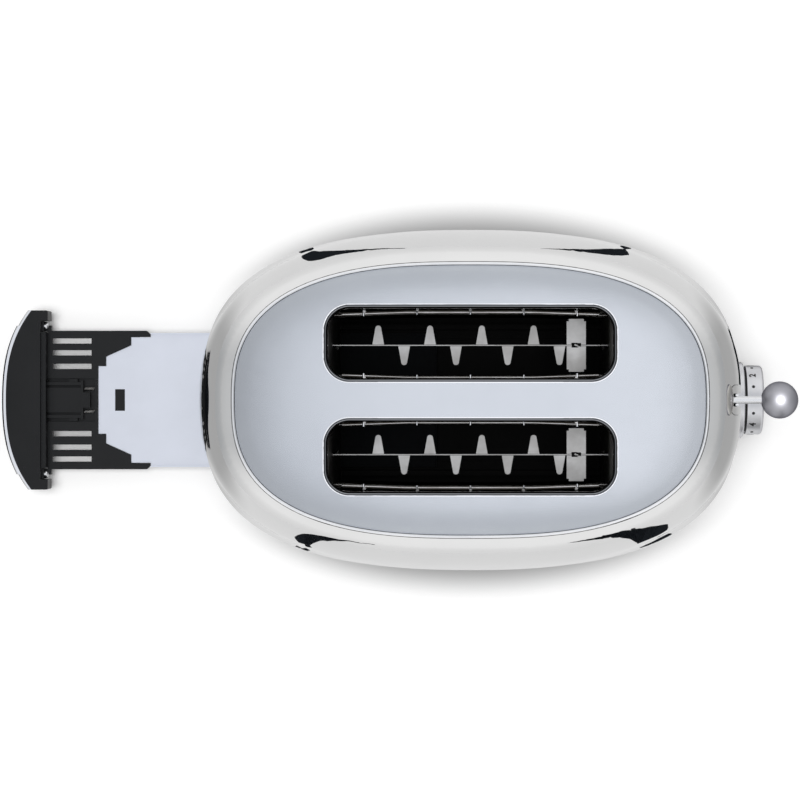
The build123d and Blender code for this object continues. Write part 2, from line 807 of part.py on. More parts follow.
def crumb_tray():
    wide_start = bed_start + rail_length + tray_gap
    tray_end = bed_start + tray_length
    half = bed_edge(tray_gap) + [
        (bed_start + bed_length + bed_step + bed_slope_length + tray_gap, rail_inner - tray_gap),
        (wide_start, rail_inner - tray_gap),
        (wide_start, tray_half_width),
        (tray_end, tray_half_width),
    ]
    tray = Pos(0, 0, tray_under) * extrude(make_face(Polyline(*mirrored(half), close=True)), tray_sheet)
    fold_top = tray_under + tray_fold
    tray += block(tray_end - tray_sheet, tray_end, -tray_half_width, tray_half_width, tray_under, fold_top)
    for side in (-1, 1):
        y_low, y_high = sorted((side * (tray_half_width - tray_sheet), side * tray_half_width))
        tray += block(wide_start, tray_end, y_low, y_high, tray_under, fold_top)
    hole_start = bed_start + tray_hole_start
    half_hole = tray_hole_half_width
    return tray - block(hole_start, hole_start + tray_hole_length, -half_hole, half_hole, 0, shell_bottom)


def latch_slider():
    # Two spring arms, the wall that joins them and the tongue behind it
    z_low, z_high = latch_floor + latch_gap, latch_floor + latch_height
    wall_start = bed_start + latch_wall_start
    wall_end = wall_start + latch_wall
    half = latch_wall_half_width
    slider = block(wall_start, wall_end, -half, half, z_low, z_high)
    half = latch_tongue_half_width
    slider += block(wall_start, wall_end + latch_tongue, -half, half, z_low, z_high)
    for side in (-1, 1):
        y_low, y_high = sorted((side * latch_arm_in, side * latch_arm_out))
        slider += block(front_back - latch_arm_reach + latch_gap, wall_end, y_low, y_high, z_low, z_high)
        y_low, y_high = sorted((side * latch_arm_in, side * (latch_arm_out + latch_bulge)))
        bulge_end, bulge_top = wall_start - latch_bulge_setback, z_high - latch_bulge_drop
        slider += block(bulge_end - latch_bulge_length, bulge_end, y_low, y_high, z_low, bulge_top)
    return slider


def latch_cover():
    x_low = bed_start + latch_cover_start
    x_high = bed_start + latch_wall_start
    half = latch_cover_half_width
    z_low = latch_floor + latch_gap
    z_high = z_low + latch_cover_height
    inner = half - latch_cover_wall
    cover = block(x_low, x_high, -half, half, z_low, z_high)
    inner_end, inner_top = x_high - latch_cover_wall, z_high - latch_cover_wall
    return cover - block(x_low - overcut, inner_end, -inner, inner, 0, inner_top)


def latch_springs():
    x_low = bed_start + latch_wall_start + latch_wall
    x_high = bed_start + bed_length - latch_gap - latch_stop
    z = latch_floor + latch_gap + latch_spring_radius
    springs = [bar_x(x_low, x_high, y, z, latch_spring_radius) for y in (-latch_spring_y, latch_spring_y)]
    return Compound(children=springs)


def cord_inlet():
    # A grommet through the plinth's long wall, with the hole that the cord would fill
    wall_y = body_width / 2 - plinth_inset * (shell_bottom - inlet_z) / (shell_bottom - foot_height)
    y_high = wall_y + inlet_flange
    flange_low = wall_y - inlet_set_in
    flange = bar_y(flange_low, y_high, inlet_x, inlet_z, inlet_flange_radius) - plinth_solid()
    sleeve = bar_y(y_high - inlet_length, y_high, inlet_x, inlet_z, inlet_radius)
    return (flange + sleeve) - bar_y(0, body_width, inlet_x, inlet_z, inlet_bore)


def terminal_block():
    x_high = -(chamber_end + sheet + terminal_setback)
    x_low = x_high - terminal_length
    half = terminal_width / 2
    body = block(x_low, x_high, -half, half, deck_top, deck_top + terminal_height)
    for way in range(terminal_ways):
        y = (way - (terminal_ways - 1) / 2) * terminal_width / terminal_ways
        z = deck_top + terminal_bore_height
        body -= bar_x(x_low - overcut, x_high + overcut, y, z, terminal_bore)
    return body


def mains_switch():
    x_low = chamber_end + sheet + switch_setback
    y_low, y_high = switch_y - switch_width / 2, switch_y + switch_width / 2
    return block(x_low, x_low + switch_length, y_low, y_high, deck_top, deck_top + switch_height)


# Places that several pieces share
tray_under = bed_bottom + under_layer
collar_face = side_x(knob_z) + collar_proud
knob_back = collar_face + seal_thickness + seam_gap
board_face = board_x + pcb_thickness
magnet_top = deck_top + magnet_height
armature_z = magnet_top + armature_gap + lever_travel
bar_step = (guard_top - guard_bottom) / (guard_bars - 1)
guard_levels = [guard_bottom + bar_step * number for number in range(guard_bars)]
button_places = [(y, z) for y in (-button_y, button_y) for z in (button_z_low, button_z_high)]
foot_x, foot_y = foot_spacing_x / 2, foot_spacing_y / 2
foot_places = [(x, y) for x in (-foot_x, foot_x) for y in (-foot_y, foot_y)]


def all_nodes():
    body = body_solid(0)
    skin = body_solid(button_proud)
    nodes = {
        "outer_shell": outer_shell(body),
        "rim_ring": rim_ring(),
        "top_plate": top_plate(),
        "base_pan": base_pan(),
        "end_plate_drawer_side": end_plate(-1, False),
        "end_plate_lever_side": end_plate(1, True),
        "deck_drawer_side": deck(-1),
        "deck_lever_side": deck(1),
        "carriage_bracket": carriage_bracket(),
        "lever_rod": lever_rod(),
        "lever_ball": lever_ball(),
        "lever_bezel": lever_bezel(body),
        "knob_collar": knob_collar(body),
        "control_knob": control_knob(),
        "tact_switches": tact_switches(),
        "crumb_tray": crumb_tray(),
        "tray_carrier": tray_carrier(),
        "tray_front": tray_front(),
        "tray_front_trim": tray_front_trim(),
        "latch_slider": latch_slider(),
        "latch_cover": latch_cover(),
        "latch_springs": latch_springs(),
        "cord_inlet": cord_inlet(),
        "terminal_block": terminal_block(),
        "mains_switch": mains_switch(),
    }
    half = pcb_width / 2
    nodes["control_board"] = block(board_x, board_face, -half, half, deck_top, deck_top + pcb_height)
    half, pot_face = pot_size / 2, board_face + pot_depth
    pot = block(board_face, pot_face, -half, half, knob_z - half, knob_z + half)
    nodes["browning_potentiometer"] = pot
    nodes["knob_shaft"] = bar_x(pot_face, knob_back + shaft_grip, 0, knob_z, shaft_radius)
    seal = bar_x(collar_face, collar_face + seal_thickness, 0, knob_z, seal_radius)
    hole_end = collar_face + seal_thickness + overcut
    seal -= bar_x(collar_face - overcut, hole_end, 0, knob_z, shaft_radius + seam_gap)
    nodes["knob_seal"] = seal
    rod_top = chassis_top + guide_rod_proud
    nodes["guide_rod"] = bar_z(runner_top, rod_top, guide_rod_x, guide_rod_y, guide_rod_radius)
    spring = bar_z(deck_top, rack_top - rack_height, guide_rod_x, guide_rod_y, spring_radius)
    nodes["return_spring"] = spring - bar_z(0, shell_top, guide_rod_x, guide_rod_y, spring_bore)
    half = magnet_size / 2
    y_low, y_high = magnet_y - half, magnet_y + half
    coil = block(magnet_x - half, magnet_x + half, y_low, y_high, deck_top, magnet_top - core_proud)
    nodes["magnet_coil"] = coil - bar_z(0, shell_top, magnet_x, magnet_y, core_radius + running_gap)
    nodes["magnet_core"] = bar_z(deck_top, magnet_top, magnet_x, magnet_y, core_radius)
    half, high = armature_size / 2, armature_z + armature_thickness
    y_low, y_high = magnet_y - half, magnet_y + half
    nodes["armature"] = block(magnet_x - half, magnet_x + half, y_low, y_high, armature_z, high)
    for number, (x, y) in enumerate(foot_places, 1):
        nodes[f"rubber_foot_{number}"] = rubber_foot(x, y)
    for number, (y, z) in enumerate(button_places, 1):
        nodes[f"push_button_{number}"] = push_button(y, z, skin)
    nodes["base_screws"] = Compound(children=[base_screw(x, y) for x, y in foot_places])
    nodes["tray_screws"] = Compound(children=[tray_screw(y) for y in (-tray_screw_y, tray_screw_y)])
    number = 0
    for slot, side in ((-slot_y, "low"), (slot_y, "high")):
        nodes[f"bread_rack_{side}_y"] = bread_rack(slot)
        nodes[f"heater_ribbons_{side}_y"] = heater_ribbons(slot)
        outward = 1 if slot > 0 else -1
        face = slot + outward * reflector_offset
        nodes[f"reflector_{side}_y"] = chamber_sheet(face, outward * reflector_thickness)
        for hand in (-1, 1):
            number += 1
            face = slot + hand * board_offset
            nodes[f"heater_board_{number}"] = chamber_sheet(face, hand * board_thickness)
            nodes[f"bread_guard_{number}"] = bread_guard(slot, hand)
    return nodes


os.makedirs("parts", exist_ok=True)
for name, shape in all_nodes().items():
    shape.label = name
    export_step(shape, f"parts/{name}.step")
    print(name, len(shape.solids()), round(shape.volume, 1))
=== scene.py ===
import json
from math import cos, pi, radians, sin

import bmesh
import bpy
from mathutils import Matrix, Vector


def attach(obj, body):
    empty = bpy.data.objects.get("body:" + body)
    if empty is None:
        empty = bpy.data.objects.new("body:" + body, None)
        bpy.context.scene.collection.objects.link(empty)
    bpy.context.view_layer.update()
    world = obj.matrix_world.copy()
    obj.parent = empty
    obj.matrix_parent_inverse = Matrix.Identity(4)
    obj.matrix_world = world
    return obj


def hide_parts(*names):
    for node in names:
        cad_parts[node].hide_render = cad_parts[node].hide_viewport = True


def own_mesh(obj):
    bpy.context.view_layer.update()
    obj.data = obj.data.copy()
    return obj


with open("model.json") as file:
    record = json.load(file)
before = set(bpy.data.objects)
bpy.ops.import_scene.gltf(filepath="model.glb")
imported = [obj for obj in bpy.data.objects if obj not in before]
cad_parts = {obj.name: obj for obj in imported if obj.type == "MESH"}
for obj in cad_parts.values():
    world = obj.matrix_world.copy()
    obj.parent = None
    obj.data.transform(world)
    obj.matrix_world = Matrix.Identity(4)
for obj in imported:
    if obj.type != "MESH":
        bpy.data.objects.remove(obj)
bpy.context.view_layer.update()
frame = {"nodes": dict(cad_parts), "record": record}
nodes = frame["nodes"]
scene = bpy.context.scene
scene.view_settings.view_transform = "Standard"
mm = 0.001


def rgba(colour):
    return (*colour, 1.0)


class Wire:
    # A shader output that plain maths can be written with
    def __init__(self, finish, socket):
        self.finish = finish
        self.socket = socket

    def maths(self, operation, first, second):
        return self.finish.node("ShaderNodeMath", {"operation": operation}, {0: first, 1: second})

    def __add__(self, other):
        return self.maths("ADD", self, other)

    def __radd__(self, other):
        return self.maths("ADD", other, self)

    def __sub__(self, other):
        return self.maths("SUBTRACT", self, other)

    def __rsub__(self, other):
        return self.maths("SUBTRACT", other, self)

    def __mul__(self, other):
        return self.maths("MULTIPLY", self, other)

    def __rmul__(self, other):
        return self.maths("MULTIPLY", other, self)

    def __pow__(self, other):
        return self.maths("POWER", self, other)

    def magnitude(self):
        return self.finish.node("ShaderNodeMath", {"operation": "ABSOLUTE"}, {0: self})

    def sign(self):
        return self.finish.node("ShaderNodeMath", {"operation": "SIGN"}, {0: self})

    def atLeast(self, low):
        return self.maths("MAXIMUM", self, low)


class Finish:
    # A node tree with one way to add a node: its type, its settings, then its values or links
    def __init__(self, tree):
        self.tree = tree
        tree.nodes.clear()

    def node(self, kind, settings=None, values=None, output=0):
        made = self.tree.nodes.new(kind)
        for key, value in (settings or {}).items():
            if key == "stops":
                ramp = made.color_ramp
                while len(ramp.elements) < len(value):
                    ramp.elements.new(0.5)
                for element, (position, colour) in zip(ramp.elements, value):
                    element.position = position
                    element.color = colour
            else:
                setattr(made, key, value)
        for key, value in (values or {}).items():
            if isinstance(value, Wire):
                self.tree.links.new(value.socket, made.inputs[key])
            else:
                made.inputs[key].default_value = value
        return Wire(self, made.outputs[output]) if made.outputs else None

    def objectPlace(self):
        # Where a point is on the piece, in metres
        return self.node("ShaderNodeTexCoord", None, None, 3)

    def axes(self, place):
        parts = self.node("ShaderNodeSeparateXYZ", None, {0: place})
        return [Wire(self, parts.socket.node.outputs[axis]) for axis in range(3)]

    def noise(self, place, scale, detail=3.0, roughness=0.5):
        values = {"Vector": place, "Scale": scale, "Detail": detail, "Roughness": roughness}
        return self.node("ShaderNodeTexNoise", {"noise_dimensions": "3D"}, values)

    def stretched(self, place, scale):
        return self.node("ShaderNodeMapping", {"vector_type": "POINT"}, {"Vector": place, "Scale": scale})

    def mixColour(self, share, first, second):
        values = {0: share, 6: first, 7: second}
        return self.node("ShaderNodeMix", {"data_type": "RGBA"}, values, 2)

    def step(self, value, low, high):
        # Runs smoothly from 0 at low to 1 at high
        settings = {"interpolation_type": "SMOOTHSTEP"}
        return self.node("ShaderNodeMapRange", settings, {"Value": value, "From Min": low, "From Max": high})

    def ramp(self, value, stops):
        settings = {"stops": [(at, rgba(tone)) for at, tone in stops]}
        return self.node("ShaderNodeValToRGB", settings, {0: value})

    def bump(self, height, strength, distance):
        values = {"Height": height, "Strength": strength, "Distance": distance}
        return self.node("ShaderNodeBump", None, values)

    def rays(self):
        # What looks at the surface: the camera, a gloss, or something seen through
        path = self.node("ShaderNodeLightPath")
        kinds = ("Is Camera Ray", "Is Glossy Ray", "Is Transmission Ray")
        return [Wire(self, path.socket.node.outputs[kind]) for kind in kinds]

    def either(self, first, second):
        return self.node("ShaderNodeMath", {"operation": "ADD", "use_clamp": True}, {0: first, 1: second})

    def shade(self, values):
        shader = self.node("ShaderNodeBsdfPrincipled", None, values)
        self.node("ShaderNodeOutputMaterial", {"target": "ALL"}, {"Surface": shader})


def newFinish(name):
    material = bpy.data.materials.new(name)
    material.use_nodes = True
    return material, Finish(material.node_tree)


# Metals: colour, a second tone, roughness and its spread, the grain's stretch and its depth
metalLooks = {
    "polished_steel": dict(tone=(0.80, 0.80, 0.80), worn=(0.775, 0.775, 0.775), rough=0.03, spread=0.012,
                           grain=(40, 40, 40), depth=0.0, patch=9),
    "satin_steel": dict(tone=(0.69, 0.72, 0.765), worn=(0.665, 0.695, 0.74), rough=0.24, spread=0.04,
                        grain=(60, 2600, 400), depth=0.03, patch=14, mouth=True),
    "bright_chrome": dict(tone=(0.86, 0.865, 0.88), worn=(0.80, 0.81, 0.83), rough=0.08, spread=0.03,
                          grain=(90, 90, 90), depth=0.0, patch=30),
    "satin_chrome": dict(tone=(0.70, 0.70, 0.725), worn=(0.63, 0.63, 0.66), rough=0.24, spread=0.05,
                         grain=(500, 500, 500), depth=0.03, patch=70),
    # Painted shade: these wires turn near black below 100 mm, low in the slots
    "bright_wire": dict(tone=(0.80, 0.79, 0.78), worn=(0.62, 0.60, 0.58), rough=0.16, spread=0.1,
                        grain=(200, 900, 900), depth=0.04, patch=60, paintedShade=(2, 0.100, 0.147),
                        shadeTone=(0.03, 0.028, 0.026)),
    "rack_sheet": dict(tone=(0.66, 0.655, 0.64), worn=(0.52, 0.51, 0.49), rough=0.34, spread=0.1,
                       grain=(300, 1200, 1200), depth=0.06, patch=50, rack=True),
    # Painted dark reflection: the ball's near-black edge tint darkens its rim
    "ball_satin": dict(tone=(0.43, 0.43, 0.465), worn=(0.40, 0.40, 0.435), rough=0.44, spread=0.02,
                       grain=(900, 900, 900), depth=0.01, patch=60, edge=(0.05, 0.05, 0.07)),
    "dial_satin": dict(tone=(0.78, 0.785, 0.81), worn=(0.72, 0.725, 0.75), rough=0.36, spread=0.03,
                       grain=(2400, 500, 500), depth=0.02, patch=70),
    # Painted shade: the tray turns near black past x = -122 mm, where it lies inside the body
    "tray_sheet": dict(tone=(0.88, 0.91, 0.985), worn=(0.85, 0.88, 0.95), rough=0.33, spread=0.07,
                       grain=(700, 90, 700), depth=0.05, patch=18, paintedShade=(0, -0.122, -0.152),
                       shadeTone=(0.007, 0.0075, 0.008)),
    "chassis_sheet": dict(tone=(0.19, 0.19, 0.185), worn=(0.12, 0.12, 0.115), rough=0.46, spread=0.12,
                          grain=(300, 300, 900), depth=0.08, patch=24),
    "reflector_sheet": dict(tone=(0.62, 0.62, 0.61), worn=(0.44, 0.42, 0.39), rough=0.30, spread=0.1,
                            grain=(400, 400, 60), depth=0.08, patch=20),
    "ribbon": dict(tone=(0.32, 0.28, 0.25), worn=(0.19, 0.16, 0.15), rough=0.5, spread=0.12,
                   grain=(500, 500, 500), depth=0.1, patch=80),
    "magnet_winding": dict(tone=(0.62, 0.29, 0.15), worn=(0.45, 0.19, 0.09), rough=0.3, spread=0.1,
                           grain=(20, 20, 2600), depth=0.25, patch=60),
    "plain_steel": dict(tone=(0.56, 0.56, 0.55), worn=(0.44, 0.43, 0.42), rough=0.28, spread=0.1,
                        grain=(500, 500, 500), depth=0.05, patch=50),
}
raggedEdge = 0.006  # how far the painted shade's edge wanders, in metres


# The slots' mouths, in millimetres, and the painted light on their rolled lips from the inner wall outward:
# painted shade, then painted highlights and dark reflection lines
mouthLooks = dict(length=152.1, width=37.1, spacing=60.4, corner=11.8, lip=2.35, blend=0.3, reach=3.0,
                  rough=0.05,
                  stops=[(0.0, (0.03, 0.03, 0.033)), (0.30, (0.03, 0.031, 0.035)), (0.36, (0.34, 0.35, 0.37)),
                         (0.42, (0.34, 0.35, 0.37)), (0.47, (0.05, 0.055, 0.065)), (0.61, (0.06, 0.065, 0.075)),
                         (0.70, (0.92, 0.93, 0.95)), (0.80, (1.0, 1.0, 1.0))])


def paintedLipLight(finish, place):
    x, y, z = finish.axes(place)
    looks = mouthLooks
    across = (x.magnitude() - (looks["length"] / 2 - looks["corner"]) * mm).atLeast(0)
    along = ((y.magnitude() - looks["spacing"] / 2 * mm).magnitude()
             - (looks["width"] / 2 - looks["corner"]) * mm).atLeast(0)
    out = (across * across + along * along) ** 0.5 - looks["corner"] * mm
    lip = 1 - finish.step(out, looks["lip"] * mm, (looks["lip"] + looks["blend"]) * mm)
    return lip, finish.ramp(out * (1 / (looks["reach"] * mm)), looks["stops"])


# Painted shade on the racks: dark sides along their thin top edges, black painted in as the cross tab's notched
# corners, and black painted on as the dark seen through its lanced mark
rackLooks = dict(spacing=60.4, edge=0.2, edgeEnd=0.42, tabX=58.5, notchX=4.1, notchY=13.2, markX=2.7,
                 markY=1.35, slope=0.55, strip=0.42, dark=(0.012, 0.012, 0.012))


def rackShade(finish, place):
    x, y, z = finish.axes(place)
    looks = rackLooks
    off = y - y.sign() * (looks["spacing"] / 2 * mm)
    side = off.magnitude()
    along = x - looks["tabX"] * mm
    reach = along.magnitude()
    edge = finish.step(side, looks["edge"] * mm, (looks["edge"] + 0.06) * mm)
    edge = edge * (1 - finish.step(side, looks["edgeEnd"] * mm, (looks["edgeEnd"] + 0.04) * mm))
    notch = finish.step(reach, looks["notchX"] * mm, (looks["notchX"] + 0.1) * mm)
    notch = notch * finish.step(side, looks["notchY"] * mm, (looks["notchY"] + 0.1) * mm)
    mark = 1 - finish.step(reach, (looks["markX"] - 0.2) * mm, looks["markX"] * mm)
    mark = mark * (1 - finish.step(side, (looks["markY"] - 0.2) * mm, looks["markY"] * mm))
    slant = (off + along * looks["slope"]).magnitude()
    mark = mark * finish.step(slant, looks["strip"] * mm, (looks["strip"] + 0.15) * mm)
    return 1 - (1 - edge) * (1 - notch) * (1 - mark)


def metal(name, looks):
    material, finish = newFinish(name)
    place = finish.objectPlace()
    patches = finish.step(finish.noise(place, looks["patch"], 4.0, 0.6), 0.35, 0.65)
    grain = finish.noise(finish.stretched(place, looks["grain"]), 1.0, 4.0, 0.65)
    smear = finish.noise(place, looks["patch"] * 3.3, 5.0, 0.6)
    colour = finish.mixColour(patches, rgba(looks["tone"]), rgba(looks["worn"]))
    if "paintedShade" in looks:
        # Painted shade along one axis, dark from the second place back to the first, where little light
        # reaches: the guard wires low in the slots and the tray inside the body
        axis, darkAt, litAt = looks["paintedShade"]
        ragged = finish.axes(place)[axis] + (smear - 0.5) * raggedEdge
        colour = finish.mixColour(finish.step(ragged, darkAt, litAt), rgba(looks["shadeTone"]), colour)
    rough = looks["rough"] + (smear * 0.6 + grain * 0.4 - 0.5) * (2 * looks["spread"])
    # Painted light on the slot lips: painted shade at the wall, a grey and a white painted highlight, and a
    # dark painted reflection line
    if looks.get("mouth"):
        lip, paintedLipLines = paintedLipLight(finish, place)
        colour = finish.mixColour(lip, colour, paintedLipLines)
        rough = rough + (mouthLooks["rough"] - rough) * lip
    # Painted shade on the racks' edges, notches and lanced marks
    if looks.get("rack"):
        colour = finish.mixColour(rackShade(finish, place), colour, rgba(rackLooks["dark"]))
    values = {
        "Base Color": colour,
        "Roughness": rough,
        "Metallic": 1.0,
        # The edge tint is white for most metals; near black on the ball, it is a painted dark reflection at the
        # rim
        "Specular Tint": rgba(looks.get("edge", (1.0, 1.0, 1.0))),
    }
    if looks["depth"]:
        values["Normal"] = finish.bump(grain, looks["depth"], 0.0004)
    finish.shade(values)
    return material


# Plastics, rubber and boards
dullLooks = {
    "black_plastic": dict(tone=(0.0045, 0.005, 0.0055), other=(0.009, 0.0095, 0.0105), rough=0.34, spread=0.08,
                          grain=1500, depth=0.10, patch=30, gloss=0.3),
    "pan_black": dict(tone=(0.0035, 0.0035, 0.0035), other=(0.006, 0.006, 0.006), rough=0.62, spread=0.08,
                      grain=1500, depth=0.10, patch=30, gloss=0.1),
    "black_gap": dict(tone=(0.008, 0.008, 0.009), other=(0.016, 0.016, 0.017), rough=0.6, spread=0.1,
                      grain=900, depth=0.1, patch=60),
    "rubber": dict(tone=(0.022, 0.022, 0.023), other=(0.045, 0.045, 0.046), rough=0.75, spread=0.08,
                   grain=700, depth=0.2, patch=60),
    "mica": dict(tone=(0.36, 0.34, 0.30), other=(0.22, 0.20, 0.17), rough=0.45, spread=0.12,
                 grain=240, depth=0.15, patch=35),
    "circuit_board": dict(tone=(0.03, 0.16, 0.07), other=(0.04, 0.22, 0.10), rough=0.35, spread=0.08,
                          grain=500, depth=0.1, patch=120),
    "component": dict(tone=(0.05, 0.05, 0.055), other=(0.11, 0.11, 0.115), rough=0.45, spread=0.1,
                      grain=600, depth=0.15, patch=90),
}


def dull(name, looks):
    material, finish = newFinish(name)
    place = finish.objectPlace()
    patches = finish.step(finish.noise(place, looks["patch"], 4.0, 0.6), 0.3, 0.7)
    grain = finish.noise(place, looks["grain"], 3.0, 0.6)
    finish.shade({
        "Base Color": finish.mixColour(patches, rgba(looks["tone"]), rgba(looks["other"])),
        "Roughness": looks["rough"] + (patches - 0.5) * (2 * looks["spread"]),
        "Specular IOR Level": looks.get("gloss", 0.5),
        "Normal": finish.bump(grain, looks["depth"], 0.0003),
    })
    return material


finishes = {name: metal(name, looks) for name, looks in metalLooks.items()}
finishes.update({name: dull(name, looks) for name, looks in dullLooks.items()})
slotOf = {part["node"]: part["material_slot"] for part in frame["record"]["subparts"]}
ownFinish = {"lever_ball": "ball_satin", "control_knob": "dial_satin", "knob_collar": "dial_satin",
             "base_pan": "pan_black"}
for name, piece in nodes.items():
    for place in piece.material_slots:
        place.material = finishes[ownFinish.get(name, slotOf[name])]
print("finishes", len(finishes))


def placed(name, data):
    holder = bpy.data.objects.new(name, data)
    scene.collection.objects.link(holder)
    return holder


def meshOf(curve):
    # Makes a mesh of a curve and clears the curve away
    holder = bpy.data.objects.new(curve.name, curve)
    mesh = bpy.data.meshes.new_from_object(holder)
    bpy.data.objects.remove(holder)
    bpy.data.curves.remove(curve)
    return mesh


def addPiece(bm, name, slotName, body, replaced=(), sharp=35, finish=None):
    bmesh.ops.remove_doubles(bm, verts=bm.verts[:], dist=1e-7)
    bmesh.ops.recalc_face_normals(bm, faces=bm.faces[:])
    mesh = bpy.data.meshes.new(name)
    bm.to_mesh(mesh)
    bm.free()
    mesh.polygons.foreach_set("use_smooth", [True] * len(mesh.polygons))
    mesh.set_sharp_from_angle(angle=radians(sharp))
    mesh.materials.append(finish or finishes[slotName])
    piece = placed(name, mesh)
    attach(piece, body)
    if replaced:
        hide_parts(*replaced)
    return piece


def wire(bm, spots, radius):
    # Bends a round wire along a line of points, in millimetres
    curve = bpy.data.curves.new("wire", "CURVE")
    curve.dimensions = "3D"
    curve.bevel_depth = radius * mm
    curve.bevel_resolution = 3
    curve.resolution_u = 4
    curve.use_fill_caps = True
    line = curve.splines.new("NURBS")
    line.points.add(len(spots) - 1)
    for point, spot in zip(line.points, spots):
        point.co = (*(Vector(spot) * mm), 1)
    line.order_u = min(3, len(spots))
    line.use_endpoint_u = True
    mesh = meshOf(curve)
    bm.from_mesh(mesh)
    bpy.data.meshes.remove(mesh)


def coil(centre, axis, side, length, radius, turns, each=12):
    # Points of a spring's turns, from its centre's low end along its axis
    axis, side = Vector(axis), Vector(side)
    third = axis.cross(side)
    spots = []
    for step in range(turns * each + 1):
        angle = 2 * pi * step / each
        spots.append(Vector(centre) + axis * (length * step / (turns * each))
                     + (side * cos(angle) + third * sin(angle)) * radius)
    return spots


# The dial's printed figures and dots, round its rim
dialLooks = dict(axisZ=56.0, rim=19.93, marksX=161.9, height=3.7, thicken=0.15, raised=0.06, dotRadius=0.9,
                 figures={"1": 90, "2": 45, "3": 0, "4": -45, "5": -90, "6": -135},
                 dots=(67.5, 22.5, -22.5, -67.5, -112.5))


def wrapOnRim(marks, mark, angle):
    # A flat mark, drawn in millimetres with its foot towards +X, is bent round the rim and joins the others
    for vert in mark.verts:
        along, up, out = vert.co
        turn = radians(angle) + along / dialLooks["rim"]
        reach = (dialLooks["rim"] + out) * mm
        x = (dialLooks["marksX"] - up) * mm
        vert.co = (x, reach * sin(turn), dialLooks["axisZ"] * mm + reach * cos(turn))
    mesh = bpy.data.meshes.new("mark")
    mark.to_mesh(mesh)
    mark.free()
    marks.from_mesh(mesh)
    bpy.data.meshes.remove(mesh)


def dialMarks():
    marks = bmesh.new()
    for text, angle in dialLooks["figures"].items():
        curve = bpy.data.curves.new("figure", "FONT")
        curve.body = text
        curve.align_x, curve.align_y = "CENTER", "CENTER"
        curve.size = dialLooks["height"] / 0.72
        curve.offset = dialLooks["thicken"]
        curve.extrude = dialLooks["raised"]
        mesh = meshOf(curve)
        figure = bmesh.new()
        figure.from_mesh(mesh)
        bpy.data.meshes.remove(mesh)
        wrapOnRim(marks, figure, angle)
    for angle in dialLooks["dots"]:
        dot = bmesh.new()
        bmesh.ops.create_cone(dot, cap_ends=True, segments=20, radius1=dialLooks["dotRadius"],
                              radius2=dialLooks["dotRadius"], depth=2 * dialLooks["raised"])
        wrapOnRim(marks, dot, angle)
    return addPiece(marks, "dialMarks", "black_gap", "browning_dial")


dialMarks()
print("dial marks")

# Cross pins over the guards' top wires and the hooked ends of the outer ones
guardLooks = dict(slots=(-30.2, 30.2), offset=17.9, bow=1.2, flat=35.0, end=69.0, top=150.0,
                  pins=(-58.4, -29.2, 0.0, 29.2, 58.4), pinRadius=0.6, pinOut=2.6, pinIn=1.4, pinUp=1.1,
                  hookRadius=0.36,
                  hook=((70.2, 16.7), (71.0, 17.1), (72.2, 18.0), (73.4, 18.5), (74.4, 18.1), (75.2, 17.0)))


def guardWire(x):
    share = max(0.0, (abs(x) - guardLooks["flat"]) / (guardLooks["end"] - guardLooks["flat"]))
    return guardLooks["offset"] - guardLooks["bow"] * share


def guardPins():
    bm = bmesh.new()
    looks = guardLooks
    for slot in looks["slots"]:
        for hand in (-1, 1):
            for x in looks["pins"]:
                y = guardWire(x)
                z = looks["top"] + looks["pinUp"]
                ends = [(x, slot + hand * (y - looks["pinIn"]), z), (x, slot + hand * (y + looks["pinOut"]), z)]
                wire(bm, ends, looks["pinRadius"])
            for side in (-1, 1):
                line = [(side * x, slot + hand * y, looks["top"]) for x, y in looks["hook"]]
                wire(bm, line, looks["hookRadius"])
    return addPiece(bm, "guardPins", "bright_chrome", "housing")


guardPins()

# The drawer's two small latch springs and the lever's return spring, wound
springLooks = dict(latchX=-228.4, latchY=6.7, latchZ=16.1, latchLength=6.4, latchInset=0.3, latchRadius=0.95,
                   latchWire=0.22, latchTurns=9, latchSquashed=0.7, returnX=88.0, returnY=14.0,
                   returnLow=33.1, returnLength=87.2, returnRadius=4.3, returnWire=0.55, returnTurns=13,
                   squashed=0.29)


def latchSprings():
    bm = bmesh.new()
    looks = springLooks
    for hand in (-1, 1):
        centre = (looks["latchX"] + looks["latchInset"], hand * looks["latchY"], looks["latchZ"])
        spots = coil(centre, (1, 0, 0), (0, 0, 1), looks["latchLength"] - 2 * looks["latchInset"],
                     looks["latchRadius"], looks["latchTurns"], 10)
        wire(bm, spots, looks["latchWire"])
    springs = addPiece(bm, "latchSprings", "plain_steel", "crumb_drawer", ["latch_springs"])
    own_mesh(springs)
    return springs


def returnSpring():
    bm = bmesh.new()
    looks = springLooks
    foot = (looks["returnX"], looks["returnY"], looks["returnLow"])
    spots = coil(foot, (0, 0, 1), (1, 0, 0), looks["returnLength"], looks["returnRadius"], looks["returnTurns"])
    wire(bm, spots, looks["returnWire"])
    spring = addPiece(bm, "returnSpring", "plain_steel", "housing", ["return_spring"])
    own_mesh(spring)
    return spring


latchSprings()
returnSpring()
print("guard pins and springs")

# The frame round the lever's slot follows the shell, and a domed cap closes its top
leverLooks = dict(halfWidth=8.0, low=112.9, high=190.0, slotLow=117.0, slotHigh=186.2, slotShare=0.44, wall=1.6,
                  columns=18, rows=72, proud=0.12, capCentre=(138.5, 0, 188.5), capHalf=(3.2, 8.1, 1.45),
                  capLean=53, shoulder=[(112.4, 149.72), (120, 149.25), (130, 148.63), (140, 148.01),
                                        (150, 147.4), (158, 146.95), (164, 146.62), (168, 146.15),
                                        (171, 145.5), (174, 144.69), (177, 143.83), (180, 142.85),
                                        (182, 142.1), (184, 141.23), (186, 140.16), (187.5, 139.25),
                                        (189, 138.25), (190.5, 137.03)])


def shoulderAt(z):
    # How far out the shell stands at a height
    spots = leverLooks["shoulder"]
    for (lowZ, lowX), (highZ, highX) in zip(spots, spots[1:]):
        if z <= highZ:
            return lowX + (highX - lowX) * (z - lowZ) / (highZ - lowZ)
    return spots[-1][1]


